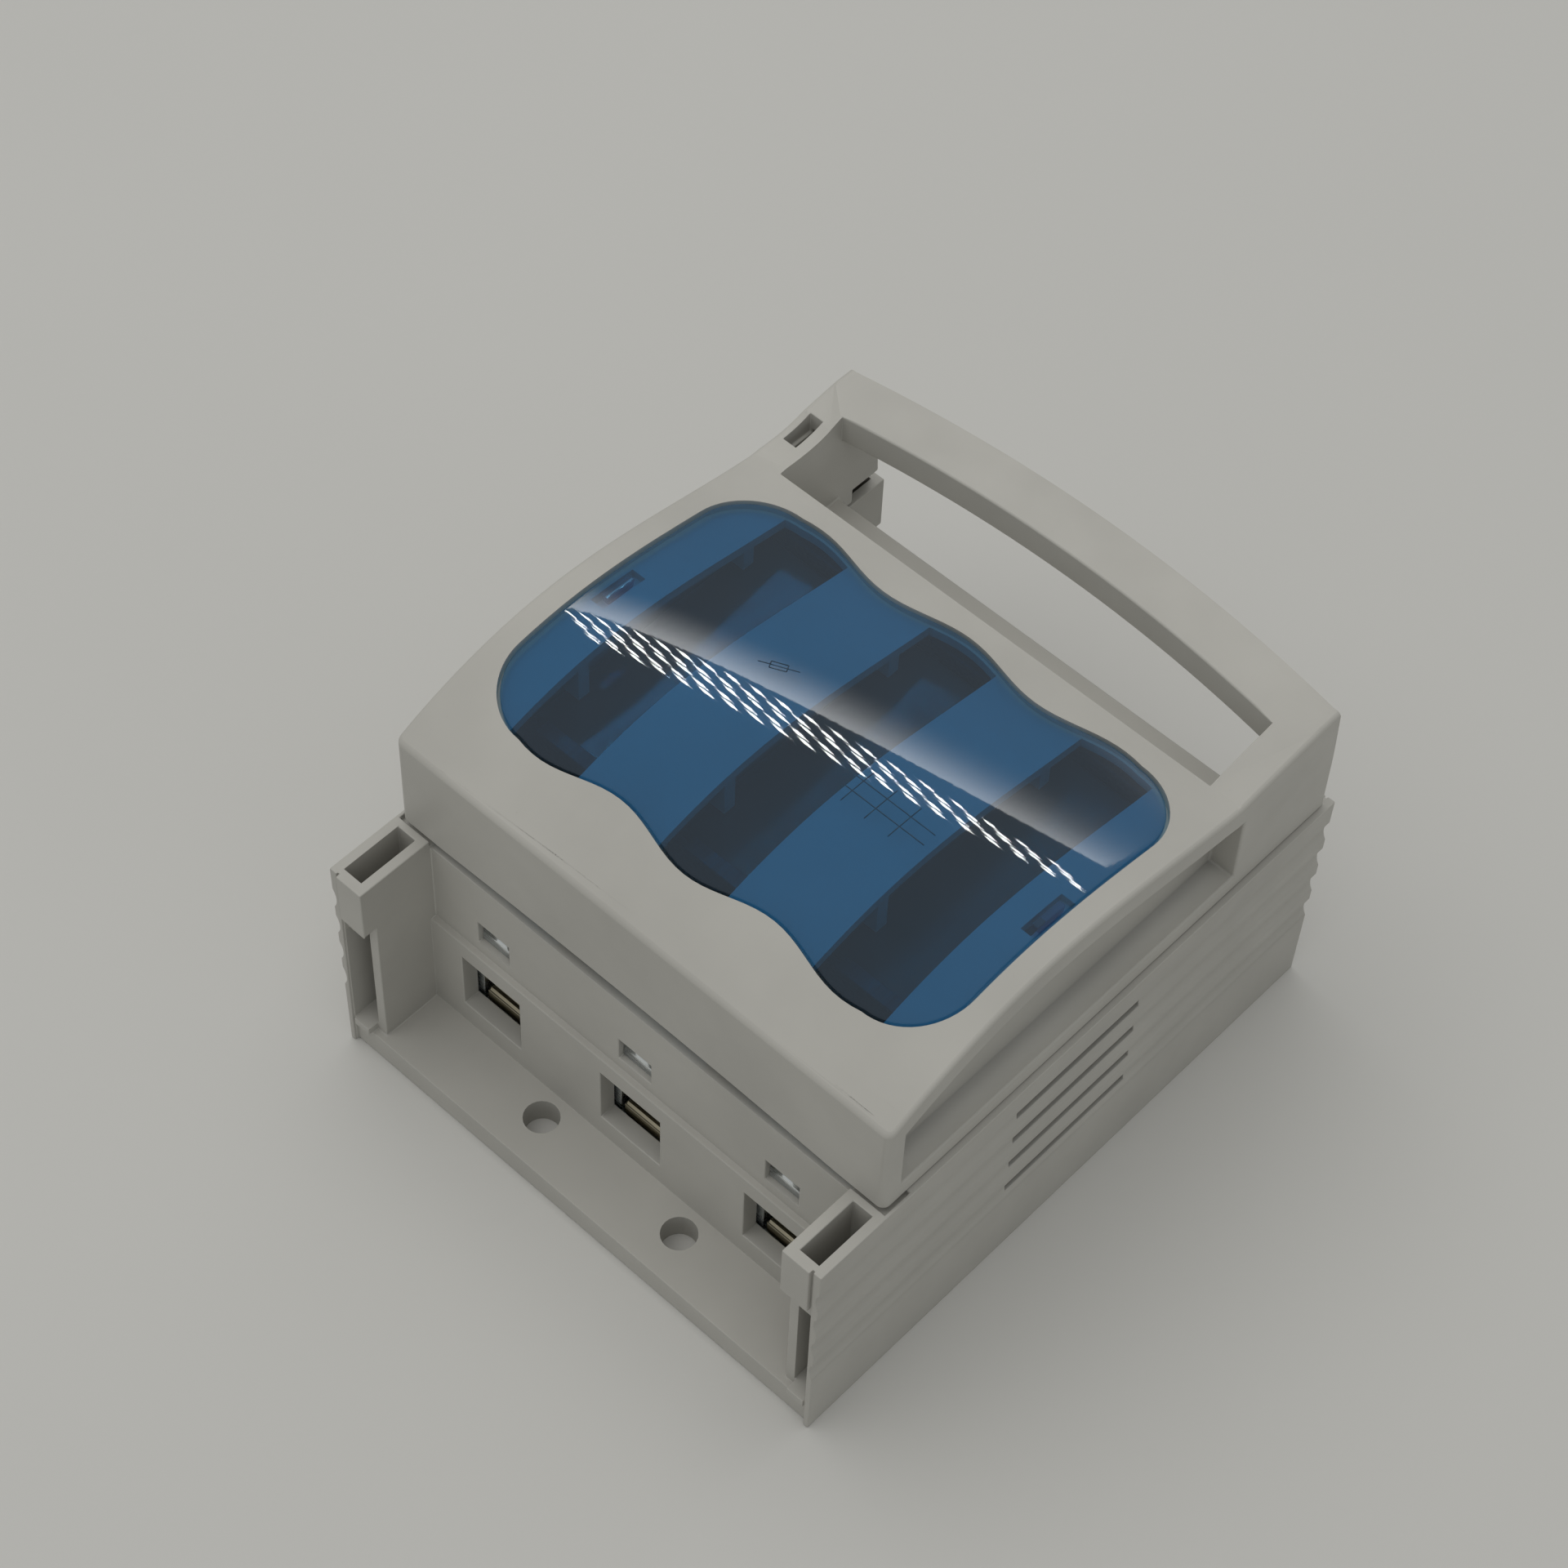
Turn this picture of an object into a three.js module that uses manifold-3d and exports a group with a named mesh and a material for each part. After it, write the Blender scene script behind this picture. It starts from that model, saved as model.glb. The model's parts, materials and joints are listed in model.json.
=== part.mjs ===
// Three-pole fuse switch: a base tray with box terminals and contact jaws, and a hinged
// cover that carries three fuse links and a blue window. All sizes are in millimetres.
//
// Axes: +X runs across the poles, +Y from the hinge end (front) to the handle end (rear),
// +Z up from the mounting face. While modelling, y = 0 is the front edge of the base; the
// exported group is moved so that the origin is the middle of the footprint.

import * as THREE from 'three';
import { mergeVertices } from 'three/addons/utils/BufferGeometryUtils.js';
import Module from 'manifold-3d';

const wasm = await Module();
wasm.setup();

// ---------------------------------------------------------------- driving dimensions

const POLES = [-27, 0, 27];            // pole centres along X
const POLE_GAP_X = [-13.5, 13.5];      // middle of the gaps between poles
const GAP = 0.3;                       // clearance between pieces that meet
const PAST = 5;                        // how far a cutter reaches past the surface that it opens
const BITE = 0.5;                      // how deep a joined block reaches into its neighbour
const SKY = 80;                        // a height above the whole part
const SLIVER = 0.01;                   // keeps two faces of a cut from lying in one plane

const BASE = {
  halfTop: 45, halfBottom: 44.45,      // half width at the rim and at the mounting face
  length: 103.6, height: 40.8,
  wall: 1.5, floor: 3, flange: 4.6, flangeSetback: 0.7,
  grooves: [15.5, 21.7, 27.9, 34.1],   // heights of the side grooves
  grooveWidth: 4.2, grooveDepth: 0.6,
};
const ROOM = { front: 14.3, rear: 92.6 };          // inner faces of the two terminal walls
const TERMINAL_WALL = { thickness: 1.8, step: 1, stepZ: 23.5, top: 39.3 };
const POST = {
  inner: 38.6, lip: 1.6, lipSetback: 1.8, proud: 0.4, cell: 1.3,
  low: 6, channelTop: 27.5, blockLow: 31, seam: 0.35,
};
const WIRE_WINDOW = { half: 5.65, low: 8.8, high: 20.1 };
const TEST_WINDOW = { half: 3, low: 25.6, high: 30.2 };
const MOUNT_HOLE = { x: 13.35, fromEnd: 7.5, rearFromEnd: 4.5, radius: 2.65 };
const VENT = { front: 38.7, rear: 63.5, height: 2 };
const SIDE_SLOT = { front: 74.5, rear: 76.3, low: 16, high: 17 };
const POST_SKIN = 0.2;                 // a post's block stops this far short of the side wall
const HINGE_RELIEF = { inner: 37.6, outer: 44.45, front: 12.4, rear: 17, low: 39.8 };
const BARRIER = { half: 0.9, low: 38.5, high: 50, front: 26, rear: 78 };

const HINGE = { y: 15.6, z: 44.6, eye: 2.2, pin: 1.1, pinEnd: 0.2, bore: 1.4 };
const LUG = { front: 20.5, rear: 23.5, low: 42.4, high: 46.8 };
const EAR = { near: 1.3, far: 3.3, front: 13.9, rear: 17.8, top: 59, skin: 13.2, wayTop: 47.2 };

const COVER = {
  half: 44.15, front: 12.45, low: 41.3, cornerRadius: 3, rearRadius: 1,
  cavityHalf: 38, ceiling: 3.4, nearWall: 1.8,
  opening: 80.6, shelfTop: 45, shelfBottom: 43, lowWall: 1.8, shelfRear: 93.4,
  rearTop: 100.9, rearLow: 102.3,
  archHalf: 36, archRise: 0.9,
};
const UNDER_COVER = COVER.low - PAST;  // where cutters that open the cover downwards begin
// The cover's crown in (y, z): a short straight shoulder, then two curves up to the peak and down
// to the handle arms.
const CROWN = {
  front: [12.45, 58.3], shoulder: [15.6, 59.8], frontHandles: [[24.2, 63.5], [33.2, 65.6]],
  peak: [43, 65.6], rearHandles: [[56, 65.6], [68, 62]], rear: [80.6, 60.5],
};
const ARM = {
  inner: 38.6, skin: 1.85, plate: 1.6, hollowFront: 84, hollowRear: 99.8, hollowTop: 58.3,
  notchFront: 96.65, notchTop: 44,
};
// Scoop on the left arm in (y, z), with the seal slot that runs through its floor.
const SCOOP = { front: 81, deep: 60.7, bow: [88.4, 60], rear: 91.6, shallow: 61.75 };
const SEAL_SLOT = { inner: 40.4, outer: 42.8, front: 85.7, rear: 91.3 };
const HOLDER = {
  wallNear: 1.4, wallFar: 2.9, wallFront: 24, wallLow: 42,
  padX: 8, padY: [37, 69], padHalfX: 1.5, padHalfY: 1,
};
const HANDLE = {
  low: 57.3, top: 62.3, outerSide: 100.7, outerMid: 104.8, innerSide: 93.3, innerMid: 96.6, shoulder: 97.7,
};
const RECESS = { x: 39.95, front: 15.7, rear: 81.8, low: 44.2, drop: 4 };
const PANE = {
  half: 39.9, cornerRadius: 9.5, front: 23.2, rear: 75.2, wave: 1.2,
  top: 0.1, bottom: 1.5, seat: 1.8, margin: 0.45,
};
const PANE_WELL = 50;                  // a height below the window and its tabs
const VIEW_SLOT = { half: 6, low: 56 };
const SNAP = { inner: 37, outer: 39.4, front: 44.3, rear: 52.3, floor: 62, play: 0.4, slack: 1.2 };

const LINK = {
  front: 14.8, rear: 90.8, half: 10.3, low: 24, bodyTop: 54.4, bevel: 1.6,
  plate: 28.6, plateThickness: 1.2, plateHalf: 9.7, plateLow: 24.8,
  lugHalf: 6, lugFront: 27.4, lugTop: 56.6, lugThickness: 1.2,
  bladeHalf: 2.85, bladeLow: 28, bladeTop: 42, chamfer: 3, nick: 1,
};
const TERMINAL = {
  // distances t are measured from the inner face of the terminal wall
  tail: { half: 4.2, low: 7.9, high: 10.1, from: 0.4, to: 14 },
  ridge: { count: 6, half: 4, root: 0.2, height: 0.5, valley: 0.1 },
  jaw: { inner: 3.1, outer: 4.9, from: 0.8, root: 7.8, to: 10, low: 29.7, high: 39.5 },
  spring: { inner: 5.2, outer: 6.2, from: 7.9, to: 9.9, low: 6.3, sole: 7.4, high: 37 },
  cage: { inner: 4.8, outer: 6.2, from: 0.4, to: 7.5, low: 5.9, sole: 7.5, roof: 22.1, top: 25.2, seam: 0.3 },
  pad: { half: 3.6, from: 1.6, to: 6.4, low: 19, high: 20.4 },
  screw: { t: 4, radius: 2.8, low: 20.7, high: 27.6, bore: 3.1, socket: 1.5, socketDepth: 3 },
  fixing: { t: 12, head: 3, shank: 1.7, bore: 2, low: 4.2, headLow: 10.4, headHigh: 12.4,
    slotHalf: 0.4, slotDepth: 0.7 },
  pedestal: { from: 10.4, to: 14.4, half: 5, high: 7.6 },
};

// Length of the whole part along Y, from the front posts to the handle bow.
const Y_MIN = -POST.proud;
const Y_MAX = HANDLE.outerMid;

// ------------------------------------------------------------------- material looks

const look = (color, roughness, metalness) => () =>
  new THREE.MeshStandardMaterial({ color, roughness, metalness });
const greyPlastic = look(0xa5a299, 0.5, 0);
const bluePlastic = () => new THREE.MeshStandardMaterial({
  color: 0x1f6fa8, roughness: 0.08, metalness: 0, transparent: true, opacity: 0.6,
});
const zincSteel = look(0xb9c0c4, 0.3, 0.9);
const springSteel = look(0x8b8f94, 0.35, 0.9);
const brass = look(0xb89a5a, 0.35, 0.9);
const tinnedCopper = look(0xb5b1a6, 0.35, 0.9);
const darkCeramic = look(0x3a2a22, 0.35, 0);

// ------------------------------------------------------------------------ solids

// A three.js geometry as a solid that can be cut and joined.
function toSolid(geometry) {
  const bare = geometry.clone();
  for (const name of Object.keys(bare.attributes)) {
    if (name !== 'position') bare.deleteAttribute(name);
  }
  const merged = mergeVertices(bare, 1e-5);
  return new wasm.Manifold(new wasm.Mesh({
    numProp: 3,
    vertProperties: new Float32Array(merged.attributes.position.array),
    triVerts: new Uint32Array(merged.index.array),
  }));
}

// A solid as a mesh geometry.
function toGeometry(solid) {
  const mesh = solid.getMesh();
  const geometry = new THREE.BufferGeometry();
  geometry.setAttribute('position', new THREE.BufferAttribute(mesh.vertProperties, 3));
  geometry.setIndex(new THREE.BufferAttribute(mesh.triVerts, 1));
  geometry.computeVertexNormals();
  return geometry;
}

const join = (first, ...others) => others.reduce((sum, other) => sum.add(other), first);
const cut = (first, ...others) => others.reduce((rest, other) => rest.subtract(other), first);

// A box given by its low and high limit along each axis.
function box(x0, x1, y0, y1, z0, z1) {
  const geometry = new THREE.BoxGeometry(x1 - x0, y1 - y0, z1 - z0);
  geometry.translate((x0 + x1) / 2, (y0 + y1) / 2, (z0 + z1) / 2);
  return toSolid(geometry);
}

function extrude(outline, depth, curveSegments) {
  return new THREE.ExtrudeGeometry(outline, { depth, bevelEnabled: false, curveSegments });
}

// Prisms of an outline drawn in (y, z), (x, z) or (x, y), between two planes.
function prismX(outline, x0, x1, curveSegments = 16) {
  const geometry = extrude(outline, x1 - x0, curveSegments);
  geometry.applyMatrix4(new THREE.Matrix4().set(0, 0, 1, x0, 1, 0, 0, 0, 0, 1, 0, 0, 0, 0, 0, 1));
  return toSolid(geometry);
}

function prismY(outline, y0, y1, curveSegments = 6) {
  const geometry = extrude(outline, y1 - y0, curveSegments);
  geometry.rotateX(Math.PI / 2);
  geometry.translate(0, y1, 0);
  return toSolid(geometry);
}

function prismZ(outline, z0, z1, curveSegments = 8) {
  const geometry = extrude(outline, z1 - z0, curveSegments);
  geometry.translate(0, 0, z0);
  return toSolid(geometry);
}

// Round bars along X and along Z.
function barX(radius, x0, x1, y, z, sides = 20) {
  const geometry = new THREE.CylinderGeometry(radius, radius, x1 - x0, sides);
  geometry.rotateZ(Math.PI / 2);
  geometry.translate((x0 + x1) / 2, y, z);
  return toSolid(geometry);
}

function barZ(radius, x, y, z0, z1, sides = 24) {
  const geometry = new THREE.CylinderGeometry(radius, radius, z1 - z0, sides);
  geometry.rotateX(Math.PI / 2);
  geometry.translate(x, y, (z0 + z1) / 2);
  return toSolid(geometry);
}

const polygon = (points) => new THREE.Shape(points.map(([u, v]) => new THREE.Vector2(u, v)));

// The solid mirrored across the middle plane x = 0.
function mirrorX(solid) {
  return solid.mirror([1, 0, 0]);
}

const bothSides = (solid) => [solid, mirrorX(solid)];

// ------------------------------------------------------------------------ base

// Cross-section of the tray's outside: rim wider than the foot, with four scalloped grooves.
function baseSection() {
  const slope = (BASE.halfTop - BASE.halfBottom) / BASE.height;
  const sideX = (z) => BASE.halfBottom + slope * z;
  const outline = new THREE.Shape();
  outline.moveTo(-BASE.halfBottom, 0);
  outline.lineTo(BASE.halfBottom, 0);
  for (const z of BASE.grooves) {
    const low = z - BASE.grooveWidth / 2;
    const high = z + BASE.grooveWidth / 2;
    outline.lineTo(sideX(low), low);
    outline.quadraticCurveTo(sideX(z) - 2 * BASE.grooveDepth, z, sideX(high), high);
  }
  outline.lineTo(BASE.halfTop, BASE.height);
  outline.lineTo(-BASE.halfTop, BASE.height);
  for (const z of [...BASE.grooves].reverse()) {
    const low = z - BASE.grooveWidth / 2;
    const high = z + BASE.grooveWidth / 2;
    outline.lineTo(-sideX(high), high);
    outline.quadraticCurveTo(-sideX(z) + 2 * BASE.grooveDepth, z, -sideX(low), low);
  }
  outline.closePath();
  return outline;
}

// The two ends differ only in depth, so one description serves both: y runs inwards from the
// end of the base, and `depth` is the distance to the terminal wall's upper face.
function endCuts(depth, holeFromEnd) {
  const above = BASE.height + PAST;
  const { inner, lip } = POST;
  const cellOuter = BASE.halfTop - BASE.wall;
  const lower = depth - TERMINAL_WALL.step;
  const behind = depth + TERMINAL_WALL.thickness + BITE;
  const cuts = [
    // compartment between the posts, over the flange
    box(-inner, inner, -PAST, lower, BASE.flange, above),
    box(-inner, inner, lower - BITE, depth, TERMINAL_WALL.stepZ, above),
    box(-inner, inner, depth - BITE, behind, TERMINAL_WALL.top, above),
    // flange edge set back behind the side walls
    box(-cellOuter, cellOuter, -PAST, BASE.flangeSetback, -PAST, BASE.flange),
  ];
  for (const x of POLES) {
    const { half: wire, low: wireLow, high: wireHigh } = WIRE_WINDOW;
    const { half: test, low: testLow, high: testHigh } = TEST_WINDOW;
    cuts.push(box(x - wire, x + wire, lower - BITE, behind, wireLow, wireHigh));
    cuts.push(box(x - test, x + test, depth - BITE, behind, testLow, testHigh));
  }
  for (const side of [-1, 1]) {
    cuts.push(barZ(MOUNT_HOLE.radius, side * MOUNT_HOLE.x, holeFromEnd, -PAST, BASE.flange + PAST));
  }
  const { lipSetback, cell, low, channelTop, blockLow, seam } = POST;
  const post = [
    // pocket open at the top, joined to the channel below it
    box(inner + lip, cellOuter, cell, depth - cell, low, above),
    // channel open at the front, and the lip set back below the block
    box(inner + lip, cellOuter, -PAST, cell + BITE, low, channelTop),
    box(inner + lip, cellOuter, -PAST, cell - GAP, channelTop - BITE, blockLow),
    box(inner - BITE, inner + lip + POST_SKIN, -PAST, lipSetback, BASE.flange, blockLow),
    // parting line between block and side wall
    box(cellOuter - seam / 2, cellOuter + seam / 2, -PAST, seam, -PAST, above),
  ];
  for (const solid of post) cuts.push(...bothSides(solid));
  return cuts;
}

// Turns a solid of the front end into the matching solid of the rear end.
const toRear = (solid) => solid.mirror([0, 1, 0]).translate([0, BASE.length, 0]);

function makeBase() {
  const { wall, floor, length, height, halfTop } = BASE;
  const frontDepth = ROOM.front - TERMINAL_WALL.thickness;
  const rearDepth = length - ROOM.rear - TERMINAL_WALL.thickness;
  const cellOuter = halfTop - wall;
  let base = prismY(baseSection(), 0, length);
  const block = box(POST.inner, cellOuter - POST_SKIN, -POST.proud, BITE, POST.blockLow, height);
  base = join(base, ...bothSides(block));
  base = cut(base, box(-cellOuter, cellOuter, ROOM.front, ROOM.rear, floor, height + PAST));
  base = cut(base, ...endCuts(frontDepth, MOUNT_HOLE.fromEnd));
  base = cut(base, ...endCuts(rearDepth, MOUNT_HOLE.rearFromEnd).map(toRear));
  for (const z of BASE.grooves) {
    base = cut(base, ...sideSlots(VENT.front, VENT.rear, z - VENT.height / 2, z + VENT.height / 2));
  }
  base = cut(base, ...sideSlots(SIDE_SLOT.front, SIDE_SLOT.rear, SIDE_SLOT.low, SIDE_SLOT.high));
  base = cut(base, ...bothSides(hingeRelief()));
  for (const x of POLE_GAP_X) base = join(base, makeBarrier(x));
  for (const x of POLES) {
    const front = pedestal(x);
    base = join(base, front, roomToRear(front));
  }
  return base;
}

// The same slot through both side walls.
function sideSlots(front, rear, low, high) {
  const cellOuter = BASE.halfTop - BASE.wall;
  return bothSides(box(cellOuter - BITE, BASE.halfTop + BITE, front, rear, low, high));
}

// Room under the cover's front corner, which swings down past the rim as the cover opens.
function hingeRelief() {
  const { inner, outer, front, rear, low } = HINGE_RELIEF;
  return box(inner, outer, front, rear, low, BASE.height + PAST);
}

// Wall between two poles, with the hinge lug that reaches forward at its front end.
function makeBarrier(x) {
  const { half, low, high, front, rear } = BARRIER;
  const [x0, x1] = [x - half, x + half];
  const wallLow = box(x0, x1, ROOM.front - BITE, ROOM.rear + BITE, BASE.floor - BITE, low);
  const wallHigh = box(x0, x1, front, rear, low - BITE, high);
  const column = box(x0, x1, LUG.front, LUG.rear, low - BITE, LUG.high);
  const arm = box(x0, x1, HINGE.y, LUG.front + BITE, LUG.low, LUG.high);
  const eye = barX(HINGE.eye, x0, x1, HINGE.y, HINGE.z);
  const bore = barX(HINGE.bore, x0 - BITE, x1 + BITE, HINGE.y, HINGE.z);
  return cut(join(wallLow, wallHigh, column, arm, eye), bore);
}

function pedestal(x) {
  const { from, to, half, high } = TERMINAL.pedestal;
  const { t, bore, low } = TERMINAL.fixing;
  const y = ROOM.front;
  const block = box(x - half, x + half, y + from, y + to, BASE.floor - BITE, high);
  return cut(block, barZ(bore, x, y + t, low - GAP, high + BITE));
}

// Turns a solid beside the front terminal wall into the matching one at the rear.
const roomToRear = (solid) => solid.mirror([0, 1, 0]).translate([0, ROOM.front + ROOM.rear, 0]);

// ------------------------------------------------------------------------ cover

// The crown's line, lowered by `drop`, from its shoulder to the arms.
function crownPath(outline, drop) {
  const at = ([y, z]) => [y, z - drop];
  const { shoulder, frontHandles, peak, rearHandles, rear } = CROWN;
  outline.lineTo(...at(shoulder));
  outline.bezierCurveTo(...at(frontHandles[0]), ...at(frontHandles[1]), ...at(peak));
  outline.bezierCurveTo(...at(rearHandles[0]), ...at(rearHandles[1]), ...at(rear));
}

// Everything below the crown lowered by `drop`.
function underCrown(drop) {
  const [frontY, frontZ] = CROWN.front;
  const [rearY, rearZ] = CROWN.rear;
  const outline = new THREE.Shape();
  outline.moveTo(frontY, 0);
  outline.lineTo(frontY, frontZ - drop);
  crownPath(outline, drop);
  outline.lineTo(rearY + PAST, rearZ - drop);
  outline.lineTo(rearY + PAST, 0);
  outline.closePath();
  return prismX(outline, -BASE.halfTop - PAST, BASE.halfTop + PAST);
}

function coverProfile() {
  const { front, low, rearTop, rearLow } = COVER;
  const outline = new THREE.Shape();
  outline.moveTo(front, low);
  outline.lineTo(...CROWN.front);
  crownPath(outline, 0);
  outline.lineTo(rearTop, HANDLE.top);
  outline.lineTo(rearLow, low);
  outline.closePath();
  return outline;
}

// Plan of the cover: rounded corners at the front, small ones at the rear.
function coverPlan() {
  const { half, front, cornerRadius: r, rearRadius: small, rearLow } = COVER;
  const outline = new THREE.Shape();
  outline.moveTo(-half + r, front);
  outline.lineTo(half - r, front);
  outline.absarc(half - r, front + r, r, -Math.PI / 2, 0);
  outline.lineTo(half, rearLow - small);
  outline.absarc(half - small, rearLow - small, small, 0, Math.PI / 2);
  outline.lineTo(-half + small, rearLow);
  outline.absarc(-half + small, rearLow - small, small, Math.PI / 2, Math.PI);
  outline.lineTo(-half, front + r);
  outline.absarc(-half + r, front + r, r, Math.PI, 1.5 * Math.PI);
  return outline;
}

// Bowed bar: two shallow arcs through the sides and the middle.
function handlePlan() {
  const { outerSide, outerMid, innerSide, innerMid, shoulder } = HANDLE;
  const half = COVER.half;
  const { inner } = ARM;
  const outline = new THREE.Shape();
  outline.moveTo(half, shoulder);
  outline.lineTo(half, outerSide);
  outline.quadraticCurveTo(0, 2 * outerMid - outerSide, -half, outerSide);
  outline.lineTo(-half, shoulder);
  outline.lineTo(-inner - BITE, innerSide);
  outline.lineTo(-inner, innerSide);
  outline.quadraticCurveTo(0, 2 * innerMid - innerSide, inner, innerSide);
  outline.lineTo(inner + BITE, innerSide);
  outline.closePath();
  return outline;
}

// Outline with three lobes on each long side and rounded corners, grown by `margin`.
function panePlan(margin) {
  const half = PANE.half + margin;
  const r = PANE.cornerRadius + margin;
  const steps = 40;
  const limit = half - r;
  const lobe = (x) => PANE.wave * Math.cos((2 * Math.PI * x) / POLES[2]);
  const outline = new THREE.Shape();
  const front = PANE.front - margin;
  const rear = PANE.rear + margin;
  outline.moveTo(-limit, front - lobe(limit));
  for (let i = 1; i <= steps; i += 1) {
    const x = -limit + (2 * limit * i) / steps;
    outline.lineTo(x, front - lobe(x));
  }
  const tip = front - lobe(limit);
  const top = rear + lobe(limit);
  outline.absarc(limit, tip + r, r, -Math.PI / 2, 0);
  outline.absarc(limit, top - r, r, 0, Math.PI / 2);
  for (let i = 1; i < steps; i += 1) {
    const x = limit - (2 * limit * i) / steps;
    outline.lineTo(x, rear + lobe(x));
  }
  outline.absarc(-limit, top - r, r, Math.PI / 2, Math.PI);
  outline.absarc(-limit, tip + r, r, Math.PI, 1.5 * Math.PI);
  return outline;
}

function makeCover() {
  const c = COVER;
  let cover = prismX(coverProfile(), -c.half, c.half).intersect(prismZ(coverPlan(), UNDER_COVER, SKY));
  // main room, and the low room that covers the rear jaws
  const room = underCrown(c.ceiling).intersect(
    box(-c.cavityHalf, c.cavityHalf, ROOM.front, c.opening - c.nearWall, UNDER_COVER, SKY));
  const lowRoomFront = c.opening - c.nearWall - BITE;
  const lowRoom = box(-ARM.inner, ARM.inner, lowRoomFront, c.shelfRear - c.lowWall, UNDER_COVER, c.shelfBottom);
  cover = cut(cover, room, lowRoom);
  // finger opening over the shelf, and the gap behind it
  const behind = HANDLE.outerMid + PAST;
  cover = cut(cover,
    box(-ARM.inner, ARM.inner, c.opening, behind, c.shelfTop, SKY),
    box(-ARM.inner, ARM.inner, c.shelfRear, behind, UNDER_COVER, c.shelfTop + BITE));
  cover = cut(cover, ...bothSides(armHollow()), ...bothSides(armNotch()), ...bothSides(sideRecess()));
  cover = join(cover, prismZ(handlePlan(), HANDLE.low, HANDLE.top, 24));
  cover = cut(cover, sealScoop(), sealSlot(), frontArch());
  for (const x of POLE_GAP_X) {
    const lugWay = box(x - EAR.near, x + EAR.near, EAR.skin, ROOM.front + BITE, UNDER_COVER, EAR.wayTop);
    cover = join(cut(cover, lugWay), ...hingeEars(x));
  }
  cover = join(cover, ...holderWalls(), ...holderPads());
  return cut(cover, ...windowCuts());
}

// Hollow of one handle arm, open below.
function armHollow() {
  const { inner, plate, skin, hollowFront, hollowRear, hollowTop } = ARM;
  return box(inner + plate, COVER.half - skin, hollowFront, hollowRear, UNDER_COVER, hollowTop);
}

// The arm's inner plate ends higher over the rear post.
function armNotch() {
  const { inner, plate, notchFront, notchTop } = ARM;
  return box(inner - BITE, inner + plate + SLIVER, notchFront, COVER.rearLow + PAST, UNDER_COVER, notchTop);
}

// Grip recess in one side, with an arched upper edge that follows the crown.
function sideRecess() {
  const { x, front, rear, low, drop } = RECESS;
  return underCrown(drop).intersect(box(x, COVER.half + PAST, front, rear, low, SKY));
}

// Shallow scoop on the left arm, beside the seal slot.
function sealScoop() {
  const { front, deep, bow, rear, shallow } = SCOOP;
  const outline = new THREE.Shape();
  outline.moveTo(front, SKY);
  outline.lineTo(front, deep);
  outline.quadraticCurveTo(...bow, rear, shallow);
  outline.lineTo(rear, SKY);
  outline.closePath();
  return prismX(outline, -COVER.half - PAST, -ARM.inner + BITE);
}

function sealSlot() {
  const { inner, outer, front, rear } = SEAL_SLOT;
  return box(-outer, -inner, front, rear, ARM.hollowTop - BITE, SKY);
}

// The lower edge of the front wall is slightly arched.
function frontArch() {
  const { archHalf, archRise, low, front } = COVER;
  const outline = new THREE.Shape();
  outline.moveTo(-archHalf, low - BITE);
  outline.lineTo(archHalf, low - BITE);
  outline.lineTo(archHalf, low - SLIVER);
  outline.quadraticCurveTo(0, low + 2 * archRise, -archHalf, low - SLIVER);
  outline.closePath();
  return prismY(outline, front - BITE, ROOM.front + BITE, 16);
}

// Two ears that hang from the cover, one on each side of a hinge lug.
function hingeEars(x) {
  const { near, far, front, rear, top } = EAR;
  const bore = barX(HINGE.bore, x - far - BITE, x + far + BITE, HINGE.y, HINGE.z);
  const web = box(near, far, front, rear, HINGE.z, top);
  const eye = barX(HINGE.eye, near, far, HINGE.y, HINGE.z);
  const inside = box(near - BITE, far + BITE, front, rear, HINGE.z - PAST, top);
  const ear = join(web, eye).intersect(inside);
  return bothSides(ear).map((solid) => cut(solid.translate([x, 0, 0]), bore));
}

// Walls on both sides of each fuse link, hanging from the ceiling.
function holderWalls() {
  const { wallNear, wallFar, wallFront, wallLow } = HOLDER;
  const slab = box(wallNear, wallFar, wallFront, COVER.opening - BITE, wallLow, SKY)
    .intersect(underCrown(COVER.ceiling - BITE));
  return POLE_GAP_X.flatMap((x) => bothSides(slab).map((solid) => solid.translate([x, 0, 0])));
}

// Pads that bear on the top of each fuse link.
function holderPads() {
  const { padX, padY, padHalfX, padHalfY } = HOLDER;
  const ceiling = underCrown(COVER.ceiling - BITE);
  const pads = [];
  for (const y of padY) {
    const pad = box(padX - padHalfX, padX + padHalfX, y - padHalfY, y + padHalfY, LINK.bodyTop + GAP, SKY)
      .intersect(ceiling);
    for (const pole of POLES) pads.push(...bothSides(pad).map((solid) => solid.translate([pole, 0, 0])));
  }
  return pads;
}

// Seat for the window, the viewing slot of each pole and the pockets for its snap tabs.
function windowCuts() {
  const seat = cut(prismZ(panePlan(PANE.margin), PANE_WELL, SKY), underCrown(PANE.seat));
  const plan = prismZ(panePlan(0), PANE_WELL, SKY);
  const { half, low } = VIEW_SLOT;
  const slots = POLES.map((x) => box(x - half, x + half, COVER.front, COVER.rearLow, low, SKY).intersect(plan));
  const pocket = box(SNAP.inner, SNAP.outer, SNAP.front, SNAP.rear, SNAP.floor, SKY)
    .intersect(underCrown(PANE.seat - BITE));
  return [seat, ...slots, ...bothSides(pocket)];
}

// ------------------------------------------------------------------------ window

function makeWindow() {
  const plan = prismZ(panePlan(0), PANE_WELL, SKY);
  const pane = cut(plan.intersect(underCrown(PANE.top)), underCrown(PANE.bottom));
  const { inner, outer, front, rear, floor, play, slack } = SNAP;
  const tab = box(inner + play, outer - play, front + slack, rear - slack, floor + play, SKY)
    .intersect(underCrown(PANE.bottom - GAP));
  return join(pane, ...bothSides(tab));
}

// ------------------------------------------------------------------------ hinge pins

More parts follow.
